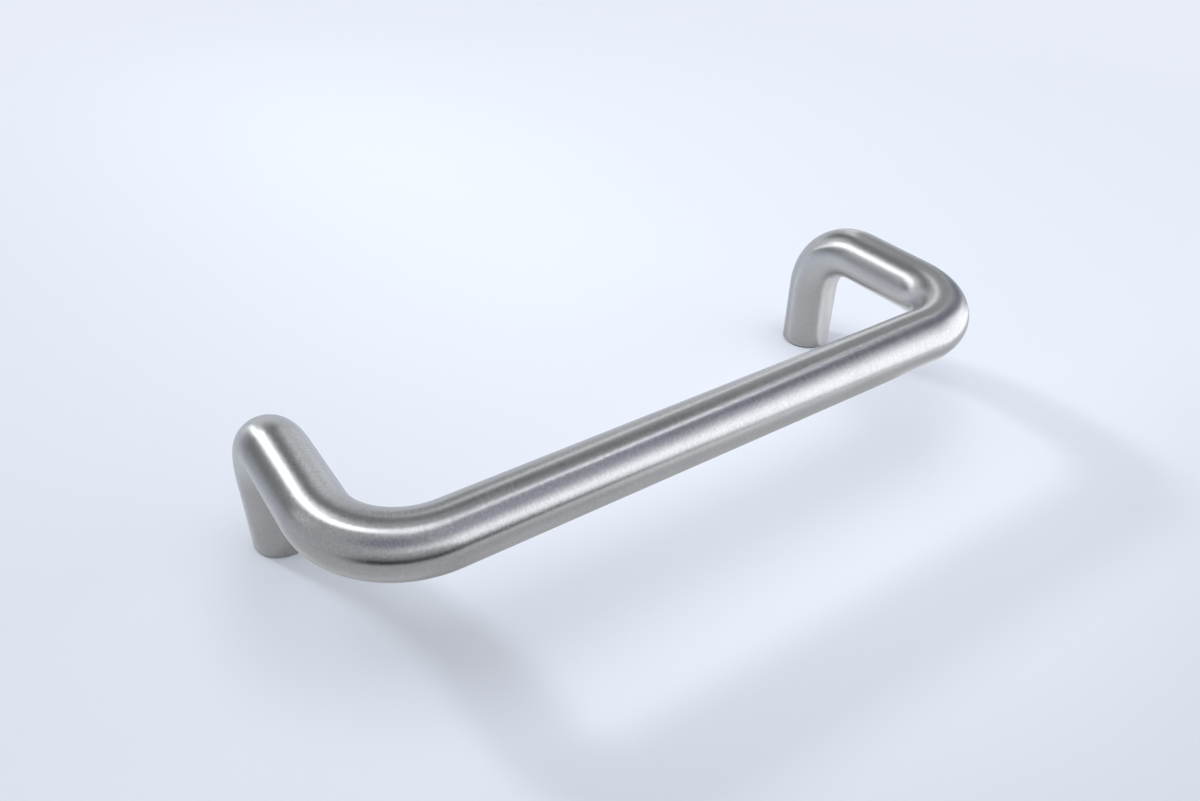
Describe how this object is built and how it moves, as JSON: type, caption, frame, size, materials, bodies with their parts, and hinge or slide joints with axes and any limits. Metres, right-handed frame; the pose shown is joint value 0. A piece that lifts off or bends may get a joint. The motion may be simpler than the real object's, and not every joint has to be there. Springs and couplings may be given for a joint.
{
  "type": "offset door pull",
  "caption": "Offset door pull bent from solid round bar: legs square to the door, arms parallel to it and a straight grip, fixed by screws into tapped feet.",
  "frame": {"origin": "on the door face, midway between the centres of the two feet", "axes": "+X along the grip, from one foot to the other; -Y from the line of the feet towards the grip; +Z out of the door, along the legs"},
  "size_m": [0.249, 0.094, 0.057],
  "materials": {
    "satin_steel": "satin"
  },
  "bodies": {
    "root": {"pull_handle": "satin_steel"}
  },
  "joints": []
}
